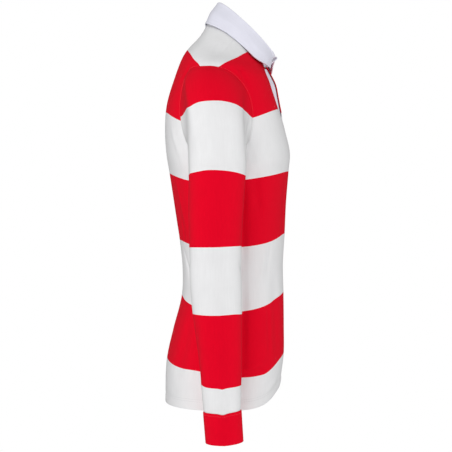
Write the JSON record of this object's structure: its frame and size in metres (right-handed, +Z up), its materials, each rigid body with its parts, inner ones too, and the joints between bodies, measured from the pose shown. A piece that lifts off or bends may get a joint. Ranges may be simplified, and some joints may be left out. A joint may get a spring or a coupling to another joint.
{
  "type": "rugby shirt",
  "caption": "Hollow long-sleeved rugby shirt in its worn shape, with broad hoops, fold-over collar, slit placket and plain cuffs.",
  "frame": {"origin": "midway between the two shoulder points, where the wearer's shoulders carry the shirt", "axes": "+Z up, the wearer faces -Y, the wearer's left arm is at +X and the right arm at -X"},
  "size_m": [0.578, 0.216, 0.7271],
  "materials": {
    "hooped_jersey": "heavy cotton jersey in broad white and red hoops, matt, with a soft nap",
    "red_jersey": "plain red cotton jersey, matt, topstitched at its seam",
    "white_drill": "cool white woven cotton drill, matt, with a fine diagonal twill",
    "button_rubber": "off-white moulded rubber, satin"
  },
  "bodies": {
    "root": {"front": "hooped_jersey", "back": "hooped_jersey", "sleeve_right": "hooped_jersey", "sleeve_left": "hooped_jersey", "cuff_right": "red_jersey", "cuff_left": "red_jersey", "collar": "white_drill", "placket_overlap": "white_drill", "placket_underlap": "white_drill", "button_1": "button_rubber", "button_2": "button_rubber", "button_3": "button_rubber"}
  },
  "joints": []
}
